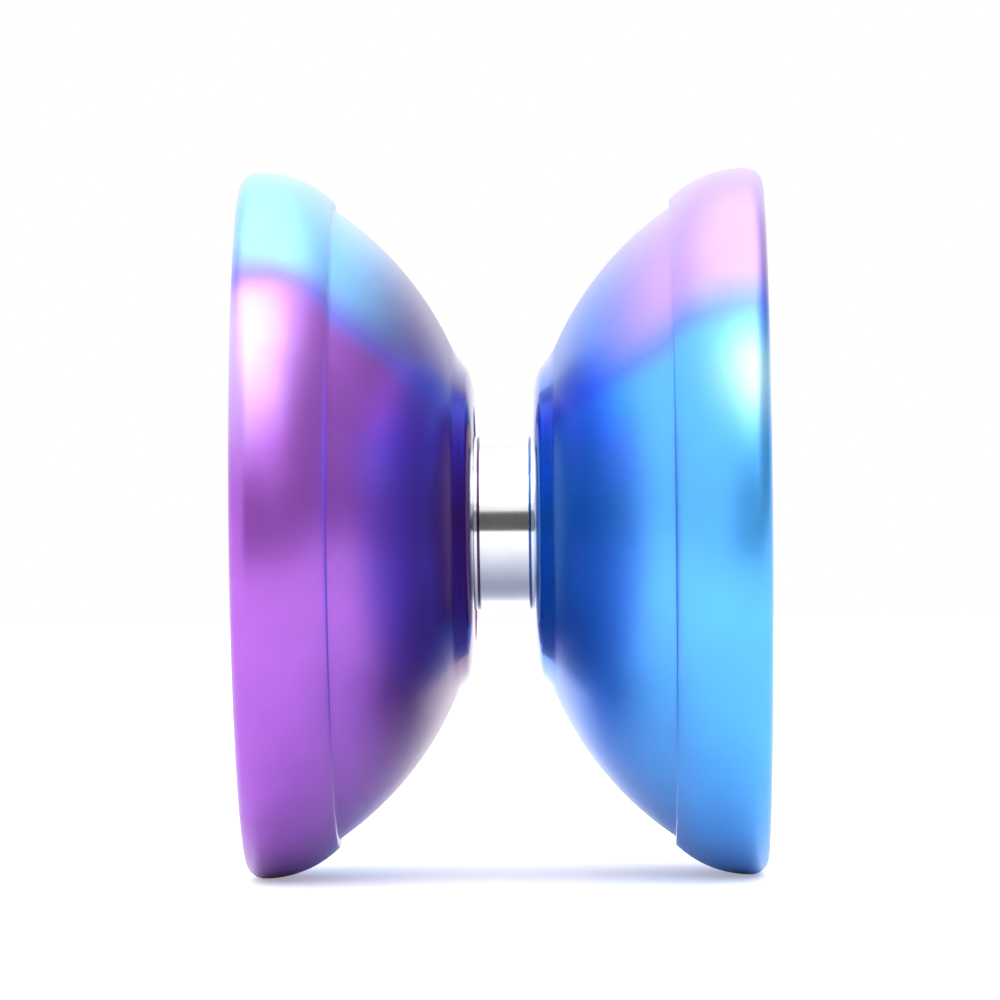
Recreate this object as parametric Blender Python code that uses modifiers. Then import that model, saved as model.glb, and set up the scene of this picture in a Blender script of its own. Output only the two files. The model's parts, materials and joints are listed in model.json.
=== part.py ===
"""Ball-bearing yo-yo: two turned aluminium halves on a screwed axle.

The axle lies along X and the origin is its middle. Each half is one turned
piece: rim, flared wall, hub, the lip round the bearing and the post that the
bearing's inner ring sits on. The left half holds the axle, and the right half
screws onto it. Between them spins the outer ring of a shielded ball bearing.
"""

import math

import bmesh
import bpy

MM = 0.001

# Overall
OUTER_DIAMETER = 56.0 * MM
OUTER_WIDTH = 41.2 * MM

# Rim
RIM_LENGTH = 7.3 * MM          # from the outer face in to the step
RIM_DROP = 2.4 * MM            # how far the crowned rim falls towards the step
RIM_STEP = 0.65 * MM           # height of the step down to the flared wall
RIM_THICKNESS = 6.4 * MM       # radial, at the crown
CORNER_LENGTH = 1.4 * MM       # rounded outer corner, along the axle
CORNER_HEIGHT = 1.2 * MM       # rounded outer corner, radial
MOUTH_ROUNDING = 1.5 * MM      # rounded inner edge of the rim

# Flared wall
FLARE_START = 4.0 * MM         # distance from the middle plane
FLARE_RADIUS = 26.0 * MM       # of the convex wall's outline
WALL_THICKNESS = 2.1 * MM

# Hub
HUB_GAP = 4.74 * MM            # between the two hub faces
HUB_RADIUS = 12.65 * MM
HUB_NOSE_LENGTH = 1.0 * MM     # rounded nose, along the axle
HUB_NOSE_HEIGHT = 3.05 * MM    # rounded nose, radial
HUB_FILLET = 1.1 * MM          # radial rise from the hub up to the wall
HUB_LAND = 0.3 * MM            # straight length of the hub behind the nose
WEB_THICKNESS = 1.6 * MM       # behind the pad recess
CUP_FLOOR_MARGIN = 2.25 * MM   # from the cup floor's edge out to the hub's radius

# Lip round the bearing
LIP_GAP = 3.86 * MM            # between the two lips, where the string winds
LIP_WALL = 0.4 * MM
LIP_CHAMFER = 0.12 * MM

# Bearing, size C
BEARING_OUTER_DIAMETER = 12.7 * MM
BEARING_BORE = 6.35 * MM
BEARING_WIDTH = 4.7625 * MM
BALL_DIAMETER = 1.5875 * MM
BALL_COUNT = 10
OUTER_LAND_RISE = 0.4575 * MM  # from the balls' centres out to the outer ring
INNER_LAND_DROP = 0.4675 * MM  # from the balls' centres in to the inner ring
RING_CHAMFER = 0.15 * MM
CAGE_THICKNESS = 0.5 * MM      # radial
CAGE_OPEN_SIDE = 0.5 * MM      # from the balls' plane to the open edge
CAGE_BACK_SIDE = 1.25 * MM     # from the balls' plane to the closed edge
SHIELD_THICKNESS = 0.18 * MM
SHIELD_SEAT_WIDTH = 0.4 * MM   # how far the outer ring is bored out for a shield
SHIELD_DEPTH = 0.6 * MM        # from the ring's face to the shield's seat
SNAP_RING_THICKNESS = 0.18 * MM
SNAP_RING_HEIGHT = 0.3 * MM    # radial
SNAP_RING_OPENING = 1.2 * MM
SNAP_GROOVE_DEPTH = 0.13 * MM

# Response pad
PAD_OUTER_DIAMETER = 18.9 * MM
PAD_THICKNESS = 0.85 * MM
PAD_SUNK = 0.13 * MM           # how far the pad lies below the hub face

# Axle and its threads
AXLE_DIAMETER = 3.9 * MM
AXLE_LENGTH = 12.0 * MM
AXLE_CHAMFER = 0.35 * MM
AXLE_SOCKET = 2.0 * MM         # hexagon, across the flats
AXLE_SOCKET_DEPTH = 2.0 * MM
POST_GAP = 0.6 * MM            # between the ends of the two bearing posts
BOSS_RADIUS = 4.7 * MM
BOSS_WALL = 1.5 * MM           # beyond the end of the axle's bore
BOSS_ROUNDING = 1.2 * MM

# Clearances
POCKET_FLOOR_GAP = 0.3 * MM    # beyond the end of the spinning outer ring
SEAT_GAP = 0.05 * MM           # between faces that are clamped or glued together
SHAFT_GAP = 0.075 * MM         # between a bearing post and the inner ring
THREAD_GAP = 0.15 * MM         # round the axle
AXLE_END_GAP = 0.5 * MM
RUNNING_GAP = 0.15 * MM        # round the spinning outer ring
RACE_GAP = 0.056 * MM          # between a ball and its grooves
POCKET_GAP = 0.066 * MM        # between a ball and its pocket
SHIELD_GAP = 0.12 * MM         # between a shield and the inner ring
TRIM_GAP = 0.05 * MM           # round the shields, snap rings and pads

# Round pieces
SEGMENTS = 36
POCKET_SEGMENTS = 16
BALL_SEGMENTS = 12
BALL_RINGS = 8
SMOOTH_ANGLE = math.radians(30)
MERGE_DISTANCE = 0.001 * MM

# Facets along each curved stretch of an outline
MOUTH_STEPS = 3
CORNER_STEPS = 3
CROWN_STEPS = 4
FLARE_STEPS = 7
NOSE_STEPS = 4
WALL_STEPS = 4
BOSS_STEPS = 2
GROOVE_STEPS = 4

# Places that several pieces share
RIM_RADIUS = OUTER_DIAMETER / 2
HALF_WIDTH = OUTER_WIDTH / 2
STEP_X = HALF_WIDTH - RIM_LENGTH
HUB_FACE_X = HUB_GAP / 2
LIP_X = LIP_GAP / 2
BEARING_X = BEARING_WIDTH / 2
BEARING_RADIUS = BEARING_OUTER_DIAMETER / 2
BORE_RADIUS = BEARING_BORE / 2
BALL_RADIUS = BALL_DIAMETER / 2
PITCH_RADIUS = (BEARING_RADIUS + BORE_RADIUS) / 2
OUTER_LAND = PITCH_RADIUS + OUTER_LAND_RISE
INNER_LAND = PITCH_RADIUS - INNER_LAND_DROP
SHIELD_BORE = OUTER_LAND + SHIELD_SEAT_WIDTH
SHIELD_X = BEARING_X - SHIELD_DEPTH
SNAP_X = SHIELD_X + SHIELD_THICKNESS + 2 * SEAT_GAP
POCKET_RADIUS = BEARING_RADIUS + RUNNING_GAP
LIP_RADIUS = POCKET_RADIUS + LIP_WALL
PAD_X = HUB_FACE_X + PAD_SUNK
PAD_FLOOR_X = PAD_X + PAD_THICKNESS + SEAT_GAP
PAD_RECESS_RADIUS = PAD_OUTER_DIAMETER / 2 + TRIM_GAP
AXLE_RADIUS = AXLE_DIAMETER / 2
BORE_END_X = AXLE_LENGTH / 2 + AXLE_END_GAP

ALUMINIUM = {"metallic": 1.0, "roughness": 0.3}
STEEL = {"metallic": 1.0, "roughness": 0.18}


def clear_scene():
    """Remove every object that the file starts with."""
    for item in list(bpy.data.objects):
        bpy.data.objects.remove(item)


def collection(name):
    """A new collection under the scene."""
    group = bpy.data.collections.new(name)
    bpy.context.scene.collection.children.link(group)
    return group


def finish(name, colour, metallic, roughness):
    """A plain Principled material."""
    material = bpy.data.materials.new(name)
    material.use_nodes = True
    shader = material.node_tree.nodes["Principled BSDF"]
    shader.inputs["Base Color"].default_value = (*colour, 1.0)
    shader.inputs["Metallic"].default_value = metallic
    shader.inputs["Roughness"].default_value = roughness
    return material


def arc(centre, radii, start, end, steps):
    """Points of an elliptical arc as (x, radius) pairs; angles in degrees."""
    points = []
    for i in range(steps + 1):
        angle = math.radians(start + (end - start) * i / steps)
        x = centre[0] + radii[0] * math.cos(angle)
        r = centre[1] + radii[1] * math.sin(angle)
        points.append((x, r))
    return points


def arc_centre(first, last, radius):
    """Centre of the arc from first to last that bulges left of that way."""
    half_x = (last[0] - first[0]) / 2
    half_r = (last[1] - first[1]) / 2
    half_chord = math.hypot(half_x, half_r)
    reach = math.sqrt(radius ** 2 - half_chord ** 2) / half_chord
    middle = (first[0] + half_x, first[1] + half_r)
    return (middle[0] + half_r * reach, middle[1] - half_x * reach)


def arc_through(centre, first, last, steps):
    """Points of the shorter arc about centre from first to last."""
    radius = math.hypot(first[0] - centre[0], first[1] - centre[1])
    start = math.degrees(math.atan2(first[1] - centre[1], first[0] - centre[0]))
    end = math.degrees(math.atan2(last[1] - centre[1], last[0] - centre[0]))
    return arc(centre, (radius, radius), start, end, steps)


def turned(name, outline, group, closed):
    """Turn an outline of (x, radius) points about the X axis.

    The outer side of the outline runs from +X to -X. The outline starts half
    a facet off the Z axis, so that one flat facet faces straight down. A
    closed outline is a ring, and an open one ends on the axis.
    """
    angle = math.pi / SEGMENTS
    points = [(x, -r * math.sin(angle), -r * math.cos(angle)) for x, r in outline]
    edges = [(i, i + 1) for i in range(len(points) - 1)]
    if closed:
        edges.append((len(points) - 1, 0))
    mesh = bpy.data.meshes.new(name)
    mesh.from_pydata(points, edges, [])
    item = bpy.data.objects.new(name, mesh)
    group.objects.link(item)
    screw = item.modifiers.new("Turn", "SCREW")
    screw.axis = "X"
    screw.steps = SEGMENTS
    screw.render_steps = SEGMENTS
    screw.use_merge_vertices = True
    screw.merge_threshold = MERGE_DISTANCE
    return item


def smooth(item):
    """Shade a mesh smooth, with its corners sharp."""
    item.data.shade_smooth()
    item.data.set_sharp_from_angle(angle=SMOOTH_ANGLE)


def bake_shape(item):
    """Replace an object's mesh by its evaluated one, smoothly shaded."""
    graph = bpy.context.evaluated_depsgraph_get()
    shape = bpy.data.meshes.new_from_object(item.evaluated_get(graph))
    item.modifiers.clear()
    item.data = shape
    shape.name = item.name
    smooth(item)


def paint(item, material):
    """Give an object one material."""
    item.data.materials.clear()
    item.data.materials.append(material)


def mirrored(outline):
    """The same outline on the other side of the middle plane."""
    return [(-x, r) for x, r in reversed(outline)]


def rim_outline():
    """Rounded mouth, flat outer face, rounded corner, crown and step."""
    mouth_radius = RIM_RADIUS - RIM_THICKNESS
    mouth = arc(
        (HALF_WIDTH - MOUTH_ROUNDING, mouth_radius + MOUTH_ROUNDING),
        (MOUTH_ROUNDING, MOUTH_ROUNDING), -90, 0, MOUTH_STEPS)
    crown = (HALF_WIDTH - CORNER_LENGTH, RIM_RADIUS)
    corner = arc(
        (crown[0], RIM_RADIUS - CORNER_HEIGHT),
        (CORNER_LENGTH, CORNER_HEIGHT), 0, 90, CORNER_STEPS)
    run = crown[0] - STEP_X
    crown_arc_radius = (run ** 2 + RIM_DROP ** 2) / (2 * RIM_DROP)
    edge = (STEP_X, RIM_RADIUS - RIM_DROP)
    crown_centre = (crown[0], RIM_RADIUS - crown_arc_radius)
    fall = arc_through(crown_centre, crown, edge, CROWN_STEPS)
    return mouth + corner + fall[1:]


def flare_ends():
    """The flared wall's outer outline, from the rim's step in to the hub."""
    outer_end = (STEP_X, RIM_RADIUS - RIM_DROP - RIM_STEP)
    hub_end = (FLARE_START, HUB_RADIUS + HUB_FILLET)
    return outer_end, hub_end


def hub_outline():
    """Hub land, rounded nose and hub face, from the wall in to the pad."""
    nose_x = HUB_FACE_X + HUB_NOSE_LENGTH
    nose_radius = HUB_RADIUS - HUB_NOSE_HEIGHT
    nose = arc(
        (nose_x, nose_radius),
        (-HUB_NOSE_LENGTH, HUB_NOSE_HEIGHT), 90, 0, NOSE_STEPS)
    return [(nose_x + HUB_LAND, HUB_RADIUS)] + nose


def pad_recess_outline():
    """Recess that the response pad is glued into, and the lip's end."""
    return [
        (HUB_FACE_X, PAD_RECESS_RADIUS),
        (PAD_FLOOR_X, PAD_RECESS_RADIUS),
        (PAD_FLOOR_X, LIP_RADIUS),
        (LIP_X + LIP_CHAMFER, LIP_RADIUS),
        (LIP_X, LIP_RADIUS - LIP_CHAMFER),
        (LIP_X, POCKET_RADIUS),
    ]


def bearing_seat_outline():
    """Pocket round the outer ring, shoulder, bearing post and axle bore."""
    pocket_floor = BEARING_X + POCKET_FLOOR_GAP
    shoulder_radius = INNER_LAND - RUNNING_GAP
    shoulder_x = BEARING_X + SEAT_GAP
    post_radius = BORE_RADIUS - SHAFT_GAP
    thread_radius = AXLE_RADIUS + THREAD_GAP
    return [
        (pocket_floor, POCKET_RADIUS),
        (pocket_floor, shoulder_radius),
        (shoulder_x, shoulder_radius),
        (shoulder_x, post_radius),
        (POST_GAP / 2, post_radius),
        (POST_GAP / 2, thread_radius),
        (BORE_END_X, thread_radius),
        (BORE_END_X, 0.0),
    ]


def cup_outline(flare_centre, hub_end):
    """Open outer side: boss over the axle's end, floor and hollow wall.

    The wall's inside runs beside the flare, from opposite its hub end to the
    mouth, and slopes from there to the edge of the floor.
    """
    boss_x = BORE_END_X + BOSS_WALL
    boss = [(boss_x, 0.0)] + arc(
        (boss_x - BOSS_ROUNDING, BOSS_RADIUS - BOSS_ROUNDING),
        (BOSS_ROUNDING, BOSS_ROUNDING), 0, 90, BOSS_STEPS)
    floor_x = PAD_FLOOR_X + WEB_THICKNESS
    floor = [(floor_x, BOSS_RADIUS), (floor_x, HUB_RADIUS - CUP_FLOOR_MARGIN)]
    inner_radius = FLARE_RADIUS - WALL_THICKNESS
    share = inner_radius / FLARE_RADIUS
    wall_foot = tuple(c + (h - c) * share for c, h in zip(flare_centre, hub_end))
    mouth_radius = RIM_RADIUS - RIM_THICKNESS
    rim_reach = mouth_radius - flare_centre[1]
    rim_edge = (
        flare_centre[0] - math.sqrt(inner_radius ** 2 - rim_reach ** 2),
        mouth_radius)
    return boss + floor + arc_through(flare_centre, wall_foot, rim_edge, WALL_STEPS)


def half_outline():
    """Whole outline of the half on the +X side, from boss to axle bore."""
    outer_end, hub_end = flare_ends()
    flare_centre = arc_centre(hub_end, outer_end, FLARE_RADIUS)
    flare = arc_through(flare_centre, outer_end, hub_end, FLARE_STEPS)
    return (
        cup_outline(flare_centre, hub_end) + rim_outline() + flare
        + hub_outline() + pad_recess_outline() + bearing_seat_outline())


def make_half(name, side, material, group):
    """One turned half, on the +X side for side 1 and the -X side for -1."""
    outline = half_outline()
    if side < 0:
        outline = mirrored(outline)
    item = turned(name, outline, group, closed=False)
    bake_shape(item)
    paint(item, material)


def groove_arc(radius_sign):
    """Ball groove's arc below (-1) or above (1) the balls, +X end first."""
    land = OUTER_LAND if radius_sign > 0 else INNER_LAND
    groove_radius = BALL_RADIUS + RACE_GAP
    rise = abs(land - PITCH_RADIUS)
    edge = math.degrees(math.asin(rise / groove_radius))
    return arc(
        (0.0, PITCH_RADIUS), (groove_radius, radius_sign * groove_radius),
        edge, 180 - edge, GROOVE_STEPS)


def shield_seat_outline():
    """Bored-out end of the outer ring with its snap ring groove, land first."""
    snap_end = SNAP_X + SNAP_RING_THICKNESS + SEAT_GAP
    groove_radius = SHIELD_BORE + SNAP_GROOVE_DEPTH
    return [
        (SHIELD_X, OUTER_LAND),
        (SHIELD_X, SHIELD_BORE),
        (SNAP_X - SEAT_GAP, SHIELD_BORE),
        (SNAP_X - SEAT_GAP, groove_radius),
        (snap_end, groove_radius),
        (snap_end, SHIELD_BORE),
        (BEARING_X, SHIELD_BORE),
    ]


def make_outer_ring(material, group):
    """Outer ring of the bearing, which the string would wind on."""
    edge = BEARING_RADIUS - RING_CHAMFER
    flat = BEARING_X - RING_CHAMFER
    outside = [
        (BEARING_X, edge),
        (flat, BEARING_RADIUS),
        (-flat, BEARING_RADIUS),
        (-BEARING_X, edge),
    ]
    seat = shield_seat_outline()
    left_seat = mirrored(seat)
    groove = list(reversed(groove_arc(1)))
    outline = outside + left_seat + groove + seat
    item = turned("bearing_outer_ring", outline, group, closed=True)
    bake_shape(item)
    paint(item, material)


def make_inner_ring(material, group):
    """Inner ring of the bearing, clamped between the two halves."""
    land_edge = INNER_LAND - RING_CHAMFER
    bore_edge = BORE_RADIUS + RING_CHAMFER
    flat = BEARING_X - RING_CHAMFER
    outline = [(BEARING_X, bore_edge), (BEARING_X, land_edge), (flat, INNER_LAND)]
    outline += groove_arc(-1)
    outline += [
        (-flat, INNER_LAND),
        (-BEARING_X, land_edge),
        (-BEARING_X, bore_edge),
        (-flat, BORE_RADIUS),
        (flat, BORE_RADIUS),
    ]
    item = turned("bearing_inner_ring", outline, group, closed=True)
    bake_shape(item)
    paint(item, material)


def ball_angle(index):
    """Angle of a ball round the axle, with the first straight up."""
    return 2 * math.pi * index / BALL_COUNT


def ball_place(index):
    """Centre of a ball."""
    angle = ball_angle(index)
    return (0.0, -PITCH_RADIUS * math.sin(angle), PITCH_RADIUS * math.cos(angle))


def make_balls(material, group):
    """Ten steel balls, each with its origin at its own centre."""
    mesh = bpy.data.meshes.new("ball")
    shape = bmesh.new()
    bmesh.ops.create_uvsphere(
        shape, u_segments=BALL_SEGMENTS, v_segments=BALL_RINGS, radius=BALL_RADIUS)
    shape.to_mesh(mesh)
    shape.free()
    mesh.shade_smooth()
    mesh.materials.append(material)
    for index in range(BALL_COUNT):
        item = bpy.data.objects.new(f"ball_{index + 1:02d}", mesh)
        item.location = ball_place(index)
        group.objects.link(item)


def cylinder(name, radius, length, segments, group):
    """A capped cylinder about its own Z axis, centred on its origin."""
    mesh = bpy.data.meshes.new(name)
    shape = bmesh.new()
    bmesh.ops.create_cone(
        shape, cap_ends=True, segments=segments,
        radius1=radius, radius2=radius, depth=length)
    shape.to_mesh(mesh)
    shape.free()
    item = bpy.data.objects.new(name, mesh)
    group.objects.link(item)
    return item


def hide_cutter(item):
    """Mark an object as a cutter."""
    item.hide_render = True
    item.display_type = "WIRE"


def cut(item, cutter):
    """Take a cutter away from an object."""
    hide_cutter(cutter)
    boolean = item.modifiers.new("Cut", "BOOLEAN")
    boolean.operation = "DIFFERENCE"
    boolean.solver = "EXACT"
    boolean.object = cutter


def make_cage(material, group, cutters):
    """Crown cage: a ring with a radial pocket for each ball."""
    inside = PITCH_RADIUS - CAGE_THICKNESS / 2
    outside = PITCH_RADIUS + CAGE_THICKNESS / 2
    outline = [
        (CAGE_BACK_SIDE, inside),
        (CAGE_BACK_SIDE, outside),
        (-CAGE_OPEN_SIDE, outside),
        (-CAGE_OPEN_SIDE, inside),
    ]
    item = turned("ball_cage", outline, group, closed=True)
    for index in range(BALL_COUNT):
        pocket = cylinder(
            f"pocket_{index + 1:02d}", BALL_RADIUS + POCKET_GAP,
            4 * CAGE_THICKNESS, POCKET_SEGMENTS, cutters)
        pocket.location = ball_place(index)
        pocket.rotation_euler = (ball_angle(index), 0.0, 0.0)
        cut(item, pocket)
    paint(item, material)


def make_shield(name, side, material, group):
    """Flat annular shield that closes the gap between the two rings."""
    outside = SHIELD_BORE - TRIM_GAP
    inside = INNER_LAND + SHIELD_GAP
    near = SHIELD_X + SEAT_GAP
    far = near + SHIELD_THICKNESS
    outline = [(far, inside), (far, outside), (near, outside), (near, inside)]
    if side < 0:
        outline = mirrored(outline)
    item = turned(name, outline, group, closed=True)
    bake_shape(item)
    paint(item, material)


def make_snap_ring(name, side, material, group, cutters):
    """Open spring ring that holds a shield in the outer ring."""
    outside = SHIELD_BORE + SNAP_GROOVE_DEPTH - TRIM_GAP
    inside = outside - SNAP_RING_HEIGHT
    far = SNAP_X + SNAP_RING_THICKNESS
    outline = [(far, inside), (far, outside), (SNAP_X, outside), (SNAP_X, inside)]
    if side < 0:
        outline = mirrored(outline)
    item = turned(name, outline, group, closed=True)
    opening = cylinder(
        f"{name}_opening", SNAP_RING_OPENING / 2, outside, POCKET_SEGMENTS, cutters)
    opening.location = (side * (SNAP_X + far) / 2, 0.0, outside)
    opening.rotation_euler = (0.0, math.pi / 2, 0.0)
    cut(item, opening)
    paint(item, material)


def make_pad(name, side, material, group):
    """Silicone response pad, sunk a little below the hub face."""
    outside = PAD_OUTER_DIAMETER / 2
    inside = LIP_RADIUS + TRIM_GAP
    far = PAD_X + PAD_THICKNESS
    outline = [(far, inside), (far, outside), (PAD_X, outside), (PAD_X, inside)]
    if side < 0:
        outline = mirrored(outline)
    item = turned(name, outline, group, closed=True)
    bake_shape(item)
    paint(item, material)


def make_axle(material, group, cutters):
    """Set screw with a hexagon socket at its +X end."""
    end = AXLE_LENGTH / 2
    tip = AXLE_RADIUS - AXLE_CHAMFER
    outline = [
        (end, 0.0),
        (end, tip),
        (end - AXLE_CHAMFER, AXLE_RADIUS),
        (-end + AXLE_CHAMFER, AXLE_RADIUS),
        (-end, tip),
        (-end, 0.0),
    ]
    item = turned("axle", outline, group, closed=False)
    hexagon_radius = AXLE_SOCKET / 2 / math.cos(math.pi / 6)
    socket = cylinder("axle_socket", hexagon_radius, 2 * AXLE_SOCKET_DEPTH, 6, cutters)
    socket.location = (end, 0.0, 0.0)
    socket.rotation_euler = (0.0, math.pi / 2, 0.0)
    cut(item, socket)
    paint(item, material)


def main():
    clear_scene()
    yo_yo = collection("yo_yo")
    cutters = collection("cutters")

    purple = finish("purple_anodised", (0.19, 0.07, 0.52), **ALUMINIUM)
    azure = finish("azure_anodised", (0.03, 0.24, 0.70), **ALUMINIUM)
    steel = finish("bearing_steel", (0.62, 0.63, 0.65), **STEEL)
    screw_steel = finish("black_oxide_steel", (0.05, 0.05, 0.055), 0.9, 0.4)
    cage_steel = finish("cage_brass", (0.55, 0.40, 0.16), 1.0, 0.35)
    silicone = finish("white_silicone", (0.80, 0.80, 0.78), 0.0, 0.5)

    make_half("half_left", -1, purple, yo_yo)
    make_half("half_right", 1, azure, yo_yo)
    make_axle(screw_steel, yo_yo, cutters)
    make_outer_ring(steel, yo_yo)
    make_inner_ring(steel, yo_yo)
    make_balls(steel, yo_yo)
    make_cage(cage_steel, yo_yo, cutters)
    for name, side in (("left", -1), ("right", 1)):
        make_shield(f"bearing_shield_{name}", side, steel, yo_yo)
        make_snap_ring(f"snap_ring_{name}", side, steel, yo_yo, cutters)
        make_pad(f"response_pad_{name}", side, silicone, yo_yo)


main()
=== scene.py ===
"""Ball-bearing yo-yo, two turned and anodised aluminium halves on a screwed axle.

The file is laid out as an add-on. Each operator makes one piece, or one group of
like pieces, round the packed model, and the stage operator makes the floor, the
light and the camera.
"""

import json
import math

import bpy
import numpy as np
from bpy.props import FloatProperty, FloatVectorProperty, IntProperty, PointerProperty
from mathutils import Euler, Matrix, Vector

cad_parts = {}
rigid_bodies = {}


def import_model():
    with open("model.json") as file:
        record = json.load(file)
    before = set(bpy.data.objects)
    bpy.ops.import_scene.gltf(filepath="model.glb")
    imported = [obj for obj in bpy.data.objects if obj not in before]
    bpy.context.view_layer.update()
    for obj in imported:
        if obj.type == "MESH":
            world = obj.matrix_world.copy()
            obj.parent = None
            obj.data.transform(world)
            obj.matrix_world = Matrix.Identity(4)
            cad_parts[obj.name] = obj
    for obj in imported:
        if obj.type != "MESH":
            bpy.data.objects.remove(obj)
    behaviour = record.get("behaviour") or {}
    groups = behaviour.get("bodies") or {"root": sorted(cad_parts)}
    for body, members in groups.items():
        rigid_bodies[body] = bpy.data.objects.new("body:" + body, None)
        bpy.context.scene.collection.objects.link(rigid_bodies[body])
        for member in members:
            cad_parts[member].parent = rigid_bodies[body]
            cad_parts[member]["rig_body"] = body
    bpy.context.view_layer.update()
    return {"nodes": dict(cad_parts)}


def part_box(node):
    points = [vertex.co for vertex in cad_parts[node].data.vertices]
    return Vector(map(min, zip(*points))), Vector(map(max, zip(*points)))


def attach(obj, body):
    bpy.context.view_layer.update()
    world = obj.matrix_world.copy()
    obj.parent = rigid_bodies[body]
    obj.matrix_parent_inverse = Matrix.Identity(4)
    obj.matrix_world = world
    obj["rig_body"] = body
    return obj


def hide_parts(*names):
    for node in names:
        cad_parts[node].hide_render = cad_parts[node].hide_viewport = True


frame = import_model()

bl_info = {
    "name": "Ball-bearing yo-yo",
    "version": (1, 0, 0),
    "blender": (4, 5, 0),
    "location": "View3D > Sidebar > Yo-yo",
    "description": "Makes an unscrewing yo-yo with splash-anodised halves",
    "category": "Add Mesh",
}

MM = 0.001
CAD_FACETS = 36
FACET_SHRINK = math.cos(math.pi / CAD_FACETS)
LEFT_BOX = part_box("half_left")
RING_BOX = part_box("bearing_outer_ring")
AXLE_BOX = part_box("axle")
PAD_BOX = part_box("response_pad_right")
SIDES = (("left", -1), ("right", 1))
BALL_COUNT = 10
MERGE = 1e-6 * MM
SHARP_ANGLE = math.radians(35)
# How much taller than the thread its wave is, before its peaks and valleys are cut flat
THREAD_STRETCH = 1.25
# Depth to which the thread's black crests have worn bright
CREST_WEAR = 0.05 * MM
# Degrees that the hub's rounded nose goes round
NOSE_TURN = 75
# Rows round the section of a ring, of a sheet or pad, and of a wire
RING_ROWS = 150
SHEET_ROWS = 72
WIRE_ROWS = 24
# Rows from pole to pole of a ball, and steps round it
BALL_ROWS = 29
BALL_SEGMENTS = 48
WHITE = (1.0, 1.0, 1.0, 1.0)

# Roughness of the blasted metal, and of the polished metal beside the bearing
SATIN = 0.34
POLISHED = 0.1
# Height of the grain that blasting leaves, and of what polishing leaves of it
BLASTED_GRAIN = 0.22
POLISHED_GRAIN = 0.02

# Where a half's finish, dye and painted shade change, from the middle plane: each pair is a soft
# edge
SHADED_LIP = (2.1 * MM, 2.2 * MM)
POLISHED_HUB = (3.6 * MM, 4.1 * MM)
# Where the colour darkens towards the hub: dye pooling and painted shade between the halves
POOLED_DYE_AND_SHADE = (12.5 * MM, 6 * MM)
# Brightness that the painted shade leaves at the lip's edge
LIP_SHADE = 0.3
# Bare seat of the bearing: its start and end from the middle plane, and its soft
# edge from the axle
SEAT_NEAR = 2.15 * MM
SEAT_FAR = 2.4 * MM
SEAT_EDGE = (7.3 * MM, 7.4 * MM)

# Pours of the second dye: centre, radius and half of the soft edge
LEFT_POURS = (
    ((-8 * MM, 6.5 * MM, 38 * MM), 33.2 * MM, 5 * MM),
    ((-22 * MM, 24 * MM, -16 * MM), 13 * MM, 4 * MM),
    ((-7 * MM, 8 * MM, -26 * MM), 9 * MM, 4 * MM),
)
RIGHT_POURS = (
    ((12.5 * MM, 1 * MM, 38.5 * MM), 32.8 * MM, 6.5 * MM),
    ((20 * MM, 27 * MM, -6 * MM), 14 * MM, 5 * MM),
    ((7 * MM, 8 * MM, -27 * MM), 9 * MM, 4 * MM),
)
# Pours of a lighter shade of the main dye. The first of each is at the front and is a painted
# highlight, the second is thin dye at the back.
LEFT_PALE_DYE_AND_HIGHLIGHTS = (
    ((-24 * MM, -25 * MM, 14.5 * MM), 8.5 * MM, 5 * MM),
    ((-20 * MM, 14 * MM, 22 * MM), 8 * MM, 6 * MM),
)
RIGHT_PALE_DYE_AND_HIGHLIGHTS = (
    ((21 * MM, -26 * MM, 12 * MM), 3 * MM, 5 * MM),
    ((16 * MM, 20 * MM, -22 * MM), 6 * MM, 6 * MM),
)


def linear(code):
    """Scene-linear colour of an sRGB hex code."""
    shares = [int(code[i:i + 2], 16) / 255 for i in (0, 2, 4)]
    return tuple(c / 12.92 if c <= 0.04045 else ((c + 0.055) / 1.055) ** 2.4 for c in shares)


def length(name, description, default):
    """A size in metres."""
    return FloatProperty(
        name=name, description=description, default=default, min=0.0,
        unit="LENGTH", precision=5)


def colour(name, description, code):
    """A colour given as an sRGB hex code."""
    return FloatVectorProperty(
        name=name, description=description, default=linear(code), size=3,
        min=0.0, max=1.0, subtype="COLOR")


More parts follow.
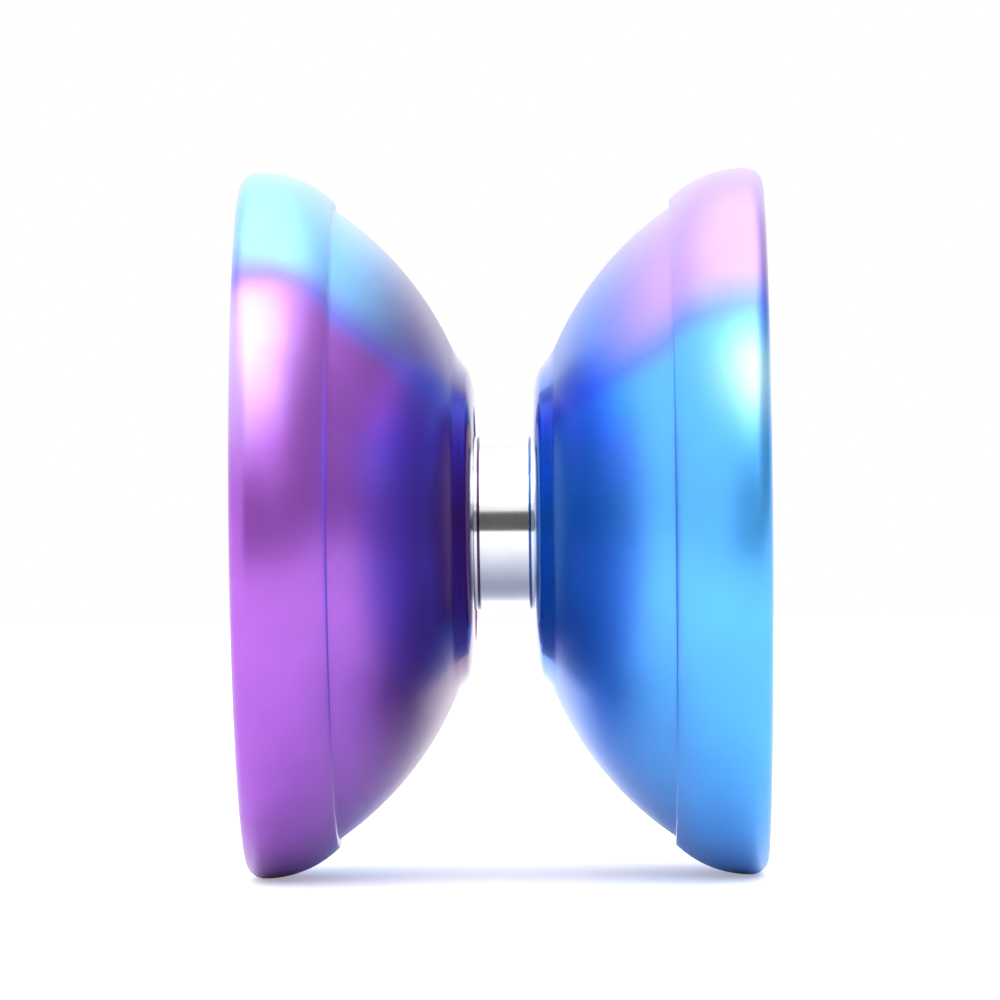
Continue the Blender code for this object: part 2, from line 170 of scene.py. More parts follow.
class YoyoHalfSizes(bpy.types.PropertyGroup):
    """Halves"""

    rim_radius: length(
        "Rim radius", "Radius of the rim at its crown", LEFT_BOX[1].z / FACET_SHRINK)
    half_width: length(
        "Half width", "From the middle plane to the outer face", -LEFT_BOX[0].x)
    rim_length: length("Rim length", "From the outer face in to the step", 7.3 * MM)
    rim_drop: length("Rim drop", "Fall of the crowned rim towards the step", 2.4 * MM)
    rim_step: length("Rim step", "Height of the step down to the wall", 0.65 * MM)
    rim_thickness: length("Rim thickness", "Radial thickness at the crown", 6.4 * MM)
    corner_length: length("Corner length", "Rounded outer corner along the axle", 1.4 * MM)
    corner_height: length("Corner height", "Rounded outer corner, radial", 1.2 * MM)
    mouth_rounding: length("Mouth rounding", "Rounded inner edge of the rim", 1.5 * MM)
    flare_start: length("Flare start", "From the middle plane to the wall", 4.0 * MM)
    flare_radius: length("Flare radius", "Of the convex wall's outline", 26.0 * MM)
    wall: length("Wall", "Thickness of the flared wall", 2.1 * MM)
    hub_face: length("Hub face", "From the middle plane to the hub face", 2.37 * MM)
    hub_radius: length("Hub radius", "Radius of the hub", 12.65 * MM)
    nose_length: length("Nose length", "Rounded hub nose along the axle", 1.0 * MM)
    nose_height: length("Nose height", "Rounded hub nose, radial", 3.05 * MM)
    hub_fillet: length("Hub fillet", "Rise from the hub up to the wall", 1.1 * MM)
    web: length("Web", "Thickness behind the pad recess", 1.6 * MM)
    cup_floor_margin: length(
        "Cup floor margin", "From the cup floor's edge out to the hub's radius", 2.25 * MM)
    lip_end: length("Lip end", "From the middle plane to the lip", 1.93 * MM)
    lip_wall: length("Lip wall", "Thickness of the lip round the bearing", 0.4 * MM)
    boss_radius: length("Boss radius", "Boss over the axle's end", 4.7 * MM)
    boss_wall: length("Boss wall", "Metal beyond the axle's bore", 1.5 * MM)
    boss_rounding: length("Boss rounding", "Rounded edge of the boss", 1.2 * MM)
    edge_rounding: length("Edge rounding", "Deburred edges", 0.14 * MM)
    pad_rounding: length("Pad rounding", "Edges of a response pad", 0.2 * MM)
    rows: IntProperty(name="Rows", description="Rows along the outline", default=240)
    bore_rows: IntProperty(name="Bore rows", description="Rows along a bore", default=120)
    segments: IntProperty(name="Segments", description="Steps round the axle", default=240)


class YoyoBearingSizes(bpy.types.PropertyGroup):
    """Bearing"""

    radius: length("Radius", "Outside radius", RING_BOX[1].z / FACET_SHRINK)
    bore_radius: length("Bore radius", "Radius of the bore", 3.175 * MM)
    half_width: length("Half width", "Half of the width", RING_BOX[1].x)
    ball_radius: length("Ball radius", "Radius of a ball", 0.79375 * MM)
    outer_ring: length("Outer ring", "Thickness of the outer ring", 1.13 * MM)
    inner_ring: length("Inner ring", "Thickness of the inner ring", 1.12 * MM)
    race_gap: length("Race gap", "Between a ball and its grooves", 0.04 * MM)
    shield_depth: length("Shield depth", "From the face to the shield's seat", 0.6 * MM)
    shield_seat: length("Shield seat", "Width of the shield's seat", 0.4 * MM)
    shield_thickness: length("Shield thickness", "Sheet of a shield", 0.18 * MM)
    shield_press: length("Shield press", "Depth of the pressed step", 0.1 * MM)
    shield_flange: length("Shield flange", "Flat edge of a shield", 0.4 * MM)
    shield_gap: length("Shield gap", "Between a shield and the inner ring", 0.12 * MM)
    snap_depth: length("Snap groove", "Depth of the snap ring groove", 0.13 * MM)
    snap_thickness: length("Snap thickness", "Thickness of a snap ring", 0.18 * MM)
    snap_height: length("Snap height", "Radial width of a snap ring", 0.3 * MM)
    snap_opening: length("Snap opening", "Gap between a snap ring's ends", 1.2 * MM)
    fit_gap: length("Fit gap", "Round the shields, snap rings and pads", 0.05 * MM)
    post_gap: length("Post gap", "Between a bearing post and the inner ring", 0.075 * MM)
    running_gap: length("Running gap", "Between the outer ring and a lip", 0.15 * MM)
    pocket_floor_gap: length("Pocket floor gap", "Beyond the outer ring's end", 0.3 * MM)
    edge_rounding: length("Edge rounding", "Ground edges of the rings", 0.2 * MM)
    sheet_rounding: length("Sheet rounding", "Edges of the stamped pieces", 0.06 * MM)
    segments: IntProperty(name="Segments", description="Steps round the axle", default=192)


class YoyoAxleSizes(bpy.types.PropertyGroup):
    """Axle"""

    half_length: length("Half length", "Half of the axle's length", AXLE_BOX[1].x)
    radius: length("Radius", "Outside radius of the thread", 1.98 * MM)
    thread_depth: length("Thread depth", "From crest to root", 0.36 * MM)
    thread_pitch: length("Thread pitch", "Travel in one turn", 0.7 * MM)
    thread_gap: length("Thread gap", "Between the axle's thread and a tapped bore", 0.07 * MM)
    chamfer: length("Chamfer", "At both ends", 0.5 * MM)
    socket: length("Socket", "Hexagon socket across the flats", 2.0 * MM)
    socket_depth: length("Socket depth", "Depth of the socket", 2.0 * MM)
    socket_point: length("Socket point", "Drilled point beyond the socket", 0.5 * MM)
    socket_chamfer: length("Socket chamfer", "Depth of the chamfer at its mouth", 0.15 * MM)
    socket_mouth: FloatProperty(
        name="Socket mouth", description="Width at the mouth over the width inside",
        default=1.1)
    end_gap: length("End gap", "Between the axle's end and the bore's floor", 0.5 * MM)
    post_end: length("Post end", "From the middle plane to a bearing post", 0.3 * MM)
    rows: IntProperty(name="Rows", description="Rows along the thread", default=240)
    segments: IntProperty(name="Segments", description="Steps round the axle", default=144)


class YoyoFinishes(bpy.types.PropertyGroup):
    """Finishes"""

    purple: colour("Purple dye", "Main colour of the left half", "A456CC")
    # The next colour is the lighter patch of purple: at the front it is a painted highlight
    orchid_dye_and_highlight: colour("Orchid", "Where the purple dye is thin", "CEB0EE")
    periwinkle: colour("Periwinkle", "Where purple and pale blue dye run together", "7C78F4")
    pale_blue: colour("Pale blue", "Splash on the left half", "78C4FE")
    azure: colour("Azure dye", "Main colour of the right half", "4CB0FF")
    # The next colour is the lighter patch of azure: at the front it is a painted highlight
    cyan_dye_and_highlight: colour("Cyan", "Where the azure dye is thin", "BAECFF")
    cornflower: colour("Cornflower", "Where azure and lilac dye run together", "5C86F8")
    lilac: colour("Lilac", "Splash on the right half", "B48EE0")
    # Filters that darken the colour towards each hub: dye pooling and painted shade between the
    # halves
    left_pool_and_shade: colour("Left pool", "Filter where the dye pools at the left hub", "A44894")
    right_pool_and_shade: colour("Right pool", "Filter where the dye pools at the right hub", "10CAFF")
    bare_aluminium: colour("Bare aluminium", "Turned again after dyeing", "E2E3E6")
    steel: colour("Bearing steel", "Ground steel", "DCDFE1")
    sheet_steel: colour("Sheet steel", "Stamped stainless steel", "C9CBCD")
    black_oxide: colour("Black oxide", "Finish of the axle", "34353A")
    bare_steel: colour("Bare steel", "Where the thread's crests have worn", "B9BBBE")
    silicone: colour("Silicone", "Response pads", "EDEDE6")


class YoyoStage(bpy.types.PropertyGroup):
    """Stage"""

    camera_distance: length("Camera distance", "From the middle of the axle", 558 * MM)
    camera_azimuth: FloatProperty(
        name="Camera azimuth", description="Turn towards +X", subtype="ANGLE",
        default=math.radians(0.76))
    camera_elevation: FloatProperty(
        name="Camera elevation", description="Tilt down towards the axle", subtype="ANGLE",
        default=0.0)
    camera_roll: FloatProperty(
        name="Camera roll", description="Clockwise lean of the camera", subtype="ANGLE",
        default=math.radians(0.55))
    lens: FloatProperty(
        name="Lens", description="Focal length in millimetres", default=253.0)
    aim_left: length("Aim left", "Aim beside the middle", 0.38 * MM)
    aim_up: length("Aim up", "Aim above the middle", 1.85 * MM)
    floor_reach: length("Floor reach", "From the middle to the sides and the back", 1200 * MM)
    floor_front: length("Floor front", "From the middle to the front edge", 150 * MM)
    floor_glow: FloatProperty(
        name="Floor glow", description="Brightness that the camera sees added", default=0.35)
    left_wall: FloatProperty(
        name="Left wall", description="Brightness of the tent's wall at -X", default=1.0)
    right_wall: FloatProperty(
        name="Right wall", description="Brightness of the tent's wall at +X", default=0.08)
    back_wall: FloatProperty(
        name="Back wall", description="Brightness behind the yo-yo", default=1.0)
    doorway: FloatProperty(
        name="Doorway", description="Brightness of the tent's open front", default=0.14)
    upper_wall: FloatProperty(
        name="Upper wall", description="Brightness of the walls higher up", default=1.25)
    upper_right: FloatProperty(
        name="Upper right", description="Brightness of the right wall higher up", default=0.45)
    ceiling: FloatProperty(
        name="Ceiling", description="Brightness of the tent's top", default=2.6)
    softbox: FloatProperty(
        name="Softbox", description="Brightness of the one high in front", default=1.4)
    softbox_distance: length("Softbox distance", "From the middle of the axle", 700 * MM)
    softbox_size: length("Softbox size", "Side of the square softbox", 560 * MM)
    softbox_height: FloatProperty(
        name="Softbox height", description="Angle above the axle", subtype="ANGLE",
        default=math.radians(50))
    softbox_azimuth: FloatProperty(
        name="Softbox azimuth", description="Turn towards +X", subtype="ANGLE",
        default=math.radians(14))


GROUPS = {
    "yoyo_half": YoyoHalfSizes,
    "yoyo_bearing": YoyoBearingSizes,
    "yoyo_axle": YoyoAxleSizes,
    "yoyo_finishes": YoyoFinishes,
    "yoyo_stage": YoyoStage,
}


# Outlines: rows of (x, radius), where x runs along the axle


def arc(centre, radii, start, end, count=48):
    """Elliptical arc: centre plus radii times cosine and sine, for degrees from start to end."""
    angle = np.radians(np.linspace(start, end, count))
    return np.column_stack([
        centre[0] + radii[0] * np.cos(angle), centre[1] + radii[1] * np.sin(angle)])


def arc_about(centre, first, last, count=96):
    """The shorter circular arc about a centre, from the first point to the last."""
    first_arm = np.subtract(first, centre)
    last_arm = np.subtract(last, centre)
    start = math.degrees(math.atan2(first_arm[1], first_arm[0]))
    end = math.degrees(math.atan2(last_arm[1], last_arm[0]))
    radius = math.hypot(*first_arm)
    return arc(centre, (radius, radius), start, end, count)


def arc_centre(first, last, radius):
    """Centre of an arc from first to last: the chord's middle, moved square to the chord."""
    half = np.subtract(last, first) / 2
    reach = math.sqrt(radius ** 2 - half @ half) / math.hypot(*half)
    return np.add(first, half) + reach * np.array([half[1], -half[0]])


def softened(outline, rounding, rows, closed=False):
    """Round an outline's corners and spread its rows.

    The outline is sampled evenly along its length, and each sample becomes the
    mean of those within half of the rounding either side, which rounds every
    corner and leaves long curves alone. The rows then take equal shares of
    length plus turning, so that corners get more of them.
    """
    outline = np.vstack([outline, outline[:1]]) if closed else np.asarray(outline)
    steps = np.hypot(*np.diff(outline, axis=0).T)
    outline = outline[np.r_[True, steps > MERGE]]
    along = np.r_[0, np.cumsum(np.hypot(*np.diff(outline, axis=0).T))]
    reach = 10
    count = int(along[-1] * 2 * reach / rounding)
    at = np.linspace(0, along[-1], count + 1)
    fine = np.column_stack([np.interp(at, along, outline[:, i]) for i in (0, 1)])
    if closed:
        before = fine[-reach - 1:-1]
        after = fine[1:reach + 1]
    else:
        before = 2 * fine[0] - fine[reach:0:-1]
        after = 2 * fine[-1] - fine[-2:-reach - 2:-1]
    padded = np.vstack([before, fine, after])
    window = np.full(2 * reach + 1, 1 / (2 * reach + 1))
    smooth = np.column_stack([np.convolve(padded[:, i], window, "valid") for i in (0, 1)])
    way = np.diff(smooth, axis=0)
    turning = np.abs(np.diff(np.unwrap(np.arctan2(way[:, 1], way[:, 0])), append=0))
    turning[-1] = 0
    share = np.hypot(*way.T) / along[-1] + turning / turning.sum()
    passed = np.r_[0, np.cumsum(share)]
    picks = np.linspace(0, passed[-1], rows + 1 if closed else rows)
    result = np.column_stack([np.interp(picks, passed, smooth[:, i]) for i in (0, 1)])
    return result[:-1] if closed else result


def mirrored(outline):
    """The outline on the other side of the middle plane, run the other way."""
    return np.asarray(outline)[::-1] * np.array([-1.0, 1.0])


# Surfaces: arrays of points indexed by row and column


def around(x, radius, angle):
    """Points at a place x along the axle, a radius from it and an angle round it."""
    x, radius, angle = np.broadcast_arrays(x, radius, angle)
    return np.stack([x, radius * np.cos(angle), radius * np.sin(angle)], axis=-1)


def full_turn(segments):
    """Equal steps of angle round the axle."""
    return np.linspace(0, 2 * math.pi, segments, endpoint=False)


def turned(outline, segments):
    """Surface of revolution: each row of the outline goes round the axle in equal steps."""
    return around(outline[:, :1], outline[:, 1:], full_turn(segments))


def thread_height(x, angle, pitch):
    """Right-hand thread, from 0 at its root to 1 at its crest.

    A triangle wave of x over the pitch less the angle's share of a turn, with
    its peaks and valleys cut flat.
    """
    phase = np.mod(x / pitch - angle / (2 * math.pi), 1.0)
    wave = 1 - np.abs(2 * phase - 1)
    return np.clip(0.5 + THREAD_STRETCH * (wave - 0.5), 0, 1)


def eased(values, start, end):
    """Smooth rise from 0 at start to 1 at end."""
    share = np.clip((values - start) / (end - start), 0, 1)
    return share ** 2 * (3 - 2 * share)


def make_mesh(name, grid, rows_close=False, poles=False):
    """Make an object from a grid of points whose columns close into rings.

    The last row joins the first where the rows close. With poles, all points of
    the first row meet, and so do those of the last: each becomes one vertex
    with a fan of triangles.
    """
    rings = grid[1:-1] if poles else grid
    count, columns = rings.shape[:2]
    points = rings.reshape(-1, 3)
    row = np.arange(count if rows_close else count - 1)[:, None]
    column = np.arange(columns)
    beside = np.roll(column, -1)
    here = row * columns
    there = (row + 1) % count * columns
    faces = np.stack([here + column, there + column, there + beside, here + beside], axis=-1)
    faces = faces.reshape(-1, 4).tolist()
    if poles:
        first = len(points)
        last = (count - 1) * columns
        points = np.vstack([points, grid[0].mean(axis=0), grid[-1].mean(axis=0)])
        pole = np.full(columns, first)
        faces += np.column_stack([pole, column, beside]).tolist()
        faces += np.column_stack([last + column, pole + 1, last + beside]).tolist()
    mesh = bpy.data.meshes.new(name)
    mesh.from_pydata(points.tolist(), [], faces)
    mesh.shade_smooth()
    mesh.set_sharp_from_angle(angle=SHARP_ANGLE)
    item = bpy.data.objects.new(name, mesh)
    bpy.context.scene.collection.objects.link(item)
    return item


def stand_for(item, node, material):
    """The piece takes a CAD node's place and its body, and is given the material."""
    item.data.materials.append(material)
    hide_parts(node)
    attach(item, frame["nodes"][node]["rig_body"])


# Materials


def add(tree, kind, inputs, stops=(), **settings):
    """Add a node and return its outputs.

    Inputs maps an input's name or number to a value, or to the output that it
    is linked from. Stops are a colour ramp's places and colours.
    """
    item = tree.nodes.new(kind)
    for key, value in settings.items():
        setattr(item, key, value)
    for key, value in inputs.items():
        if isinstance(value, bpy.types.NodeSocket):
            tree.links.new(value, item.inputs[key])
        else:
            item.inputs[key].default_value = value
    if stops:
        band = item.color_ramp
        while len(band.elements) < len(stops):
            band.elements.new(0.5)
        for element, (place, shade) in zip(band.elements, stops):
            element.position = place
            element.color = (*shade, 1.0)
    return item.outputs


def start_material(name):
    """An empty node material, its tree and its object coordinates."""
    material = bpy.data.materials.new(name)
    material.use_nodes = True
    tree = material.node_tree
    tree.nodes.clear()
    return material, tree, add(tree, "ShaderNodeTexCoord", {})["Object"]


def end_material(tree, inputs):
    """Add the Principled shader and the output."""
    shader = add(tree, "ShaderNodeBsdfPrincipled", inputs)
    add(tree, "ShaderNodeOutputMaterial", {"Surface": shader[0]})


def mottle(tree, place, size, low, high, detail=3.0):
    """Soft patches of a size, as a number that wanders between low and high."""
    noise = add(tree, "ShaderNodeTexNoise", {
        "Vector": place, "Scale": 1 / size, "Detail": detail, "Roughness": 0.55})
    return add(tree, "ShaderNodeMapRange", {
        "Value": noise["Fac"], "From Min": 0.3, "From Max": 0.7,
        "To Min": low, "To Max": high})["Result"]


def distance_from_axle(tree, place):
    """Distance of a point from the X axis."""
    flat = add(tree, "ShaderNodeVectorMath", {
        0: place, 1: (0.0, 1.0, 1.0)}, operation="MULTIPLY")
    return add(tree, "ShaderNodeVectorMath", {0: flat[0]}, operation="LENGTH")["Value"]


def pour(tree, place, centre, radius, edge):
    """Mask of one pour of dye: 1 within its radius of a centre, falling to 0 over its edge."""
    away = add(tree, "ShaderNodeVectorMath", {0: place, 1: centre}, operation="DISTANCE")
    return add(tree, "ShaderNodeMapRange", {
        "Value": away["Value"], "From Min": radius + edge, "From Max": radius - edge},
        interpolation_type="SMOOTHERSTEP")["Result"]


def poured(tree, place, pours):
    """Mask of several pours of one dye: the strongest of them."""
    masks = [pour(tree, place, *spot) for spot in pours]
    mask = masks[0]
    for other in masks[1:]:
        mask = add(tree, "ShaderNodeMath", {0: mask, 1: other}, operation="MAXIMUM")[0]
    return mask


def anodised_aluminium(name, dye_and_painted_light_colours, bare, pale_dye_and_highlights, pours):
    """Turned aluminium, bead-blasted, splash-dyed and anodised.

    The dyed oxide colours the metal's reflection, scatters a little light in its
    own colour, and has a weak white reflection from its clear skin. Blasting
    makes it satin, with a fine sparkling grain, and the hub beside the bearing
    stays polished. Where two pours of dye meet they run together over a few
    millimetres. Towards the hub the colour darkens, which is dye pooling and
    painted shade between the halves; the lip's edge has painted shade, and the
    bearing's seat is turned bare again. The colours given are the main dye, its
    lighter shade, which at the front is a painted highlight, the blend at a
    splash's edge, the splash and the filter that darkens towards the hub.
    """
    main, lighter_dye_and_highlight, mixed, second, pool_and_shade = dye_and_painted_light_colours
    material, tree, place = start_material(name)
    drift = add(tree, "ShaderNodeTexNoise", {
        "Vector": place, "Scale": 1 / (15 * MM), "Detail": 2.0, "Roughness": 0.45})
    wander = add(tree, "ShaderNodeVectorMath", {
        0: drift["Color"], 1: (7 * MM,) * 3, 2: (-3.5 * MM,) * 3}, operation="MULTIPLY_ADD")
    wandered = add(tree, "ShaderNodeVectorMath", {0: place, 1: wander[0]}, operation="ADD")[0]
    # Lighter patches of dye, the front ones painted highlights
    with_pale_dye_and_highlights = add(tree, "ShaderNodeMix", {
        "Factor": poured(tree, wandered, pale_dye_and_highlights), 6: (*main, 1.0), 7: (*lighter_dye_and_highlight, 1.0)},
        data_type="RGBA")[2]
    splash = poured(tree, wandered, pours)
    blended = add(tree, "ShaderNodeValToRGB", {"Fac": splash}, stops=[
        (0.0, main), (0.42, mixed), (1.0, second)])["Color"]
    edge = add(tree, "ShaderNodeMapRange", {"Value": splash, "From Max": 0.3})["Result"]
    # This colour also holds the painted highlights of the lighter patches
    dye = add(tree, "ShaderNodeMix", {
        "Factor": edge, 6: with_pale_dye_and_highlights, 7: blended}, data_type="RGBA")[2]
    parts = add(tree, "ShaderNodeSeparateXYZ", {"Vector": place})
    from_middle = add(tree, "ShaderNodeMath", {0: parts["X"]}, operation="ABSOLUTE")[0]
    # Darkening towards the hub: dye pooling and painted shade between the halves
    pooling_and_shade_mask = add(tree, "ShaderNodeMapRange", {
        "Value": from_middle, "From Min": POOLED_DYE_AND_SHADE[0], "From Max": POOLED_DYE_AND_SHADE[1]},
        interpolation_type="SMOOTHSTEP")["Result"]
    darkened_by_pooling_and_shade = add(tree, "ShaderNodeMix", {
        "Factor": pooling_and_shade_mask, 6: dye, 7: (*pool_and_shade, 1.0)},
        data_type="RGBA", blend_type="MULTIPLY")[2]
    # Painted shade at the lip's edge, and elsewhere a random mottle of tone
    depth = add(tree, "ShaderNodeMapRange", {
        "Value": from_middle, "From Min": SHADED_LIP[0], "From Max": SHADED_LIP[1],
        "To Min": LIP_SHADE, "To Max": mottle(tree, place, 6 * MM, 0.94, 1.05)})["Result"]
    # The colour now holds painted shade at the hub and the lip as well as the dye
    dyed = add(tree, "ShaderNodeVectorMath", {0: darkened_by_pooling_and_shade, "Scale": depth}, operation="SCALE")[0]
    seat_end = add(tree, "ShaderNodeMapRange", {
        "Value": distance_from_axle(tree, place), "From Min": SEAT_EDGE[0],
        "From Max": SEAT_EDGE[1], "To Min": SEAT_FAR, "To Max": 0.0})["Result"]
    within = add(tree, "ShaderNodeMath", {0: from_middle, 1: seat_end}, operation="LESS_THAN")[0]
    beyond = add(tree, "ShaderNodeMath", {
        0: from_middle, 1: SEAT_NEAR}, operation="GREATER_THAN")[0]
    seat = add(tree, "ShaderNodeMath", {0: within, 1: beyond}, operation="MULTIPLY")[0]
    tone = add(tree, "ShaderNodeMix", {
        "Factor": seat, 6: dyed, 7: (*bare, 1.0)}, data_type="RGBA")[2]
    satin = mottle(tree, place, 5 * MM, SATIN * 0.93, SATIN * 1.07)
    gloss = add(tree, "ShaderNodeMapRange", {
        "Value": from_middle, "From Min": POLISHED_HUB[0], "From Max": POLISHED_HUB[1],
        "To Min": POLISHED, "To Max": satin})["Result"]
    grain = add(tree, "ShaderNodeMapRange", {
        "Value": from_middle, "From Min": POLISHED_HUB[0], "From Max": POLISHED_HUB[1],
        "To Min": POLISHED_GRAIN, "To Max": BLASTED_GRAIN})["Result"]
    # Real grit leaves dents of about 0.05 mm, drawn here at 0.12 mm so that they show
    blast = add(tree, "ShaderNodeTexNoise", {
        "Vector": place, "Scale": 1 / (0.12 * MM), "Detail": 2.0, "Roughness": 0.6})
    relief = add(tree, "ShaderNodeBump", {
        "Height": blast["Fac"], "Strength": grain, "Distance": 0.02 * MM})
    end_material(tree, {
        "Base Color": tone, "Metallic": 0.76, "Roughness": gloss, "Normal": relief[0],
        "Coat Weight": 0.7, "Coat Roughness": 0.25, "Coat IOR": 1.5})
    return material


def ground_steel(name, shade, roughness, line_spacing):
    """Steel ground round its axis: bright, with fine rings that stretch highlights.

    Real grinding lines are about 0.01 mm apart, and the spacing given is wider so
    that they show.
    """
    material, tree, place = start_material(name)
    parts = add(tree, "ShaderNodeSeparateXYZ", {"Vector": place})
    across = add(tree, "ShaderNodeCombineXYZ", {
        "X": parts["X"], "Y": distance_from_axle(tree, place)})[0]
    lines = add(tree, "ShaderNodeTexNoise", {
        "Vector": across, "Scale": 1 / line_spacing, "Detail": 2.0, "Roughness": 0.7})["Fac"]
    gloss = add(tree, "ShaderNodeMapRange", {
        "Value": lines, "From Min": 0.3, "From Max": 0.7,
        "To Min": roughness * 0.75, "To Max": roughness * 1.3})["Result"]
    relief = add(tree, "ShaderNodeBump", {
        "Height": lines, "Strength": 0.15, "Distance": 0.004 * MM})
    tint = add(tree, "ShaderNodeVectorMath", {
        0: shade, "Scale": mottle(tree, place, 2 * MM, 0.94, 1.03)}, operation="SCALE")[0]
    end_material(tree, {
        "Base Color": tint, "Metallic": 1.0, "Roughness": gloss, "Normal": relief[0]})
    return material


def black_oxide_steel(name, black, bare, worn_radius):
    """Alloy steel with black oxide, rubbed through to bare metal on the thread's crests."""
    material, tree, place = start_material(name)
    reach = add(tree, "ShaderNodeMath", {
        0: distance_from_axle(tree, place),
        1: mottle(tree, place, 0.3 * MM, -0.05 * MM, 0.05 * MM)}, operation="ADD")[0]
    wear = add(tree, "ShaderNodeMapRange", {
        "Value": reach, "From Min": worn_radius - 0.03 * MM,
        "From Max": worn_radius + 0.03 * MM})["Result"]
    tint = add(tree, "ShaderNodeValToRGB", {"Fac": wear}, stops=[(0.0, black), (1.0, bare)])
    gloss = add(tree, "ShaderNodeMapRange", {
        "Value": wear, "To Min": 0.42, "To Max": 0.24})["Result"]
    relief = add(tree, "ShaderNodeBump", {
        "Height": mottle(tree, place, 0.1 * MM, 0.0, 1.0), "Strength": 0.2,
        "Distance": 0.01 * MM})
    end_material(tree, {
        "Base Color": tint["Color"], "Metallic": 1.0, "Roughness": gloss,
        "Normal": relief[0]})
    return material


def cast_silicone(name, shade):
    """Cast silicone rubber: milky, with soft broad highlights on a faintly mottled skin."""
    material, tree, place = start_material(name)
    tint = add(tree, "ShaderNodeVectorMath", {
        0: shade, "Scale": mottle(tree, place, 0.8 * MM, 0.93, 1.0)}, operation="SCALE")[0]
    relief = add(tree, "ShaderNodeBump", {
        "Height": mottle(tree, place, 0.12 * MM, 0.0, 1.0), "Strength": 0.25,
        "Distance": 0.02 * MM})
    end_material(tree, {
        "Base Color": tint, "Roughness": mottle(tree, place, 0.8 * MM, 0.42, 0.6),
        "Normal": relief[0], "IOR": 1.41, "Subsurface Weight": 0.15,
        "Subsurface Scale": 1 * MM})
    return material


# Pieces


def hub_outline(s):
    """Rounded nose, hub face, pad recess and the lip round the bearing."""
    bearing = bpy.context.scene.yoyo_bearing
    nose_x = s.hub_face + s.nose_length
    nose = arc(
        (nose_x, s.hub_radius - s.nose_height), (-s.nose_length, s.nose_height),
        NOSE_TURN, 0)
    pad_floor = PAD_BOX[1].x + bearing.fit_gap
    pad_radius = PAD_BOX[1].z / FACET_SHRINK + bearing.fit_gap
    pocket_radius = bearing.radius + bearing.running_gap
    lip_radius = pocket_radius + s.lip_wall
    return np.vstack([
        nose,
        [(s.hub_face, pad_radius), (pad_floor, pad_radius), (pad_floor, lip_radius),
         (s.lip_end, lip_radius), (s.lip_end, pocket_radius)]])


def seat_outline():
    """Pocket round the bearing, shoulder against the inner ring, and the bearing post."""
    axle = bpy.context.scene.yoyo_axle
    bearing = bpy.context.scene.yoyo_bearing
    pocket_radius = bearing.radius + bearing.running_gap
    shoulder = bearing.bore_radius + bearing.inner_ring - bearing.running_gap
    shoulder_x = bearing.half_width + bearing.fit_gap
    pocket_floor = bearing.half_width + bearing.pocket_floor_gap
    post_radius = bearing.bore_radius - bearing.post_gap
    bore_radius = axle.radius + axle.thread_gap
    return [
        (pocket_floor, pocket_radius), (pocket_floor, shoulder), (shoulder_x, shoulder),
        (shoulder_x, post_radius), (axle.post_end, post_radius), (axle.post_end, bore_radius)]


def rim_outline(s):
    """Rounded mouth, flat outer face, rounded corner, crowned rim and the step down."""
    mouth = arc(
        (s.half_width - s.mouth_rounding, s.rim_radius - s.rim_thickness + s.mouth_rounding),
        (s.mouth_rounding, s.mouth_rounding), -90, 0)
    crown = np.array([s.half_width - s.corner_length, s.rim_radius])
    corner = arc(
        (crown[0], s.rim_radius - s.corner_height), (s.corner_length, s.corner_height), 0, 90)
    edge = np.array([s.half_width - s.rim_length, s.rim_radius - s.rim_drop])
    crown_radius = ((crown[0] - edge[0]) ** 2 + s.rim_drop ** 2) / (2 * s.rim_drop)
    fall = arc_about(crown - (0.0, crown_radius), crown, edge)
    return np.vstack([mouth, corner, fall])


def half_outline(s):
    """Outline of the right half, from its boss round the rim and the hub to the axle's bore."""
    axle = bpy.context.scene.yoyo_axle
    boss_x = axle.half_length + axle.end_gap + s.boss_wall
    boss = arc(
        (boss_x - s.boss_rounding, s.boss_radius - s.boss_rounding),
        (s.boss_rounding, s.boss_rounding), 0, 90)
    flare_end = np.array([s.half_width - s.rim_length, s.rim_radius - s.rim_drop - s.rim_step])
    hub_end = np.array([s.flare_start, s.hub_radius + s.hub_fillet])
    centre = arc_centre(hub_end, flare_end, s.flare_radius)
    inner_radius = s.flare_radius - s.wall
    wall_foot = centre + (hub_end - centre) * inner_radius / s.flare_radius
    mouth_radius = s.rim_radius - s.rim_thickness
    rim_reach = mouth_radius - centre[1]
    rim_edge = (centre[0] - math.sqrt(inner_radius ** 2 - rim_reach ** 2), mouth_radius)
    floor_x = PAD_BOX[1].x + bpy.context.scene.yoyo_bearing.fit_gap + s.web
    floor_edge = (floor_x, s.hub_radius - s.cup_floor_margin)
    return np.vstack([
        [(boss_x, 0.0)], boss, [(floor_x, s.boss_radius), floor_edge],
        arc_about(centre, wall_foot, rim_edge), rim_outline(s),
        arc_about(centre, flare_end, hub_end), hub_outline(s), seat_outline()])


def half_surface(s, side):
    """A turned half whose last rows are the tapped bore.

    Every row but those of the bore is a circle. In the bore the radius is the
    thread's root plus its height times the thread form, and it eases to a plain
    countersink and a plain end.
    """
    axle = bpy.context.scene.yoyo_axle
    outline = softened(half_outline(s), s.edge_rounding, s.rows)
    angle = full_turn(s.segments)
    bore_end = axle.half_length + axle.end_gap
    places = np.linspace(axle.post_end, bore_end, s.bore_rows)[1:, None]
    if side < 0:
        outline = outline * np.array([-1.0, 1.0])
        places = -places
    tapped = axle.radius - axle.thread_depth + axle.thread_gap + (
        axle.thread_depth * thread_height(places, angle, axle.thread_pitch))
    plain = axle.radius + axle.thread_gap
    depth = np.abs(places)
    cut = eased(depth, axle.post_end, axle.post_end + axle.thread_pitch / 2)
    cut = cut * eased(depth, bore_end, bore_end - axle.thread_pitch / 2)
    bore = around(places, plain + (tapped - plain) * cut, angle)
    end = around(places[-1:], np.array([[plain / 2], [0.0]]), angle)
    grid = np.concatenate([turned(outline, s.segments), bore, end])
    return grid if side > 0 else grid[:, ::-1]


